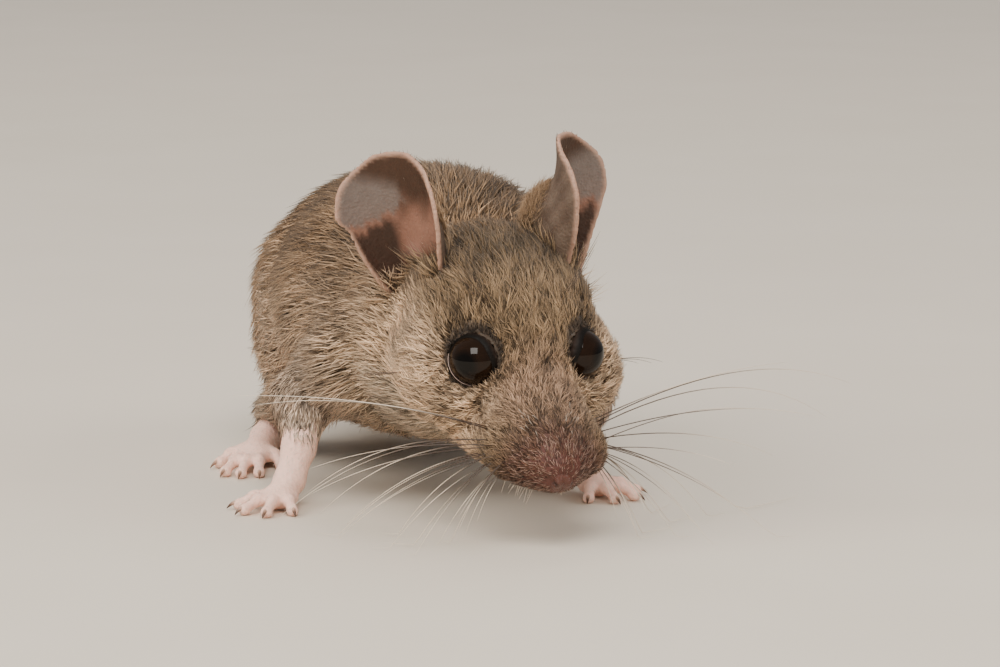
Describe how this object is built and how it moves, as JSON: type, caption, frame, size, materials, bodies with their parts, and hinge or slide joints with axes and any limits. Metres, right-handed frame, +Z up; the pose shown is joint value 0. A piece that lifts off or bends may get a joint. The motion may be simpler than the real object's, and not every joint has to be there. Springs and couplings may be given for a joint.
{
  "type": "grey mouse",
  "caption": "Small live mouse standing in a low crouch, forepaws spread, nose close to the ground, big dark eyes, large upright ears and a long tail laid out behind",
  "frame": {"origin": "on the floor, under the middle of the bounding box", "axes": "nose towards -Y, tail towards +Y, the mouse's own left at +X, +Z up"},
  "size_m": [0.038, 0.1056, 0.0281],
  "materials": {
    "coat": "soft fur, grey-brown ticked with buff and black",
    "ear_skin": "thin bare skin with a fine down",
    "nose_skin": "bare moist skin",
    "paw_skin": "pink skin under sparse white hair",
    "tail_skin": "ringed skin with short hair",
    "eye": "wet gloss"
  },
  "bodies": {
    "root": {"head": "coat", "nose": "nose_skin", "neck": "coat", "trunk": "coat", "ear_left": "ear_skin", "ear_right": "ear_skin", "eye_left": "eye", "eye_right": "eye", "foreleg_left": "coat", "foreleg_right": "coat", "forepaw_left": "paw_skin", "forepaw_right": "paw_skin", "hindleg_left": "coat", "hindleg_right": "coat", "hindfoot_left": "paw_skin", "hindfoot_right": "paw_skin", "tail_base": "tail_skin", "tail_middle": "tail_skin", "tail_tip": "tail_skin"}
  },
  "joints": []
}
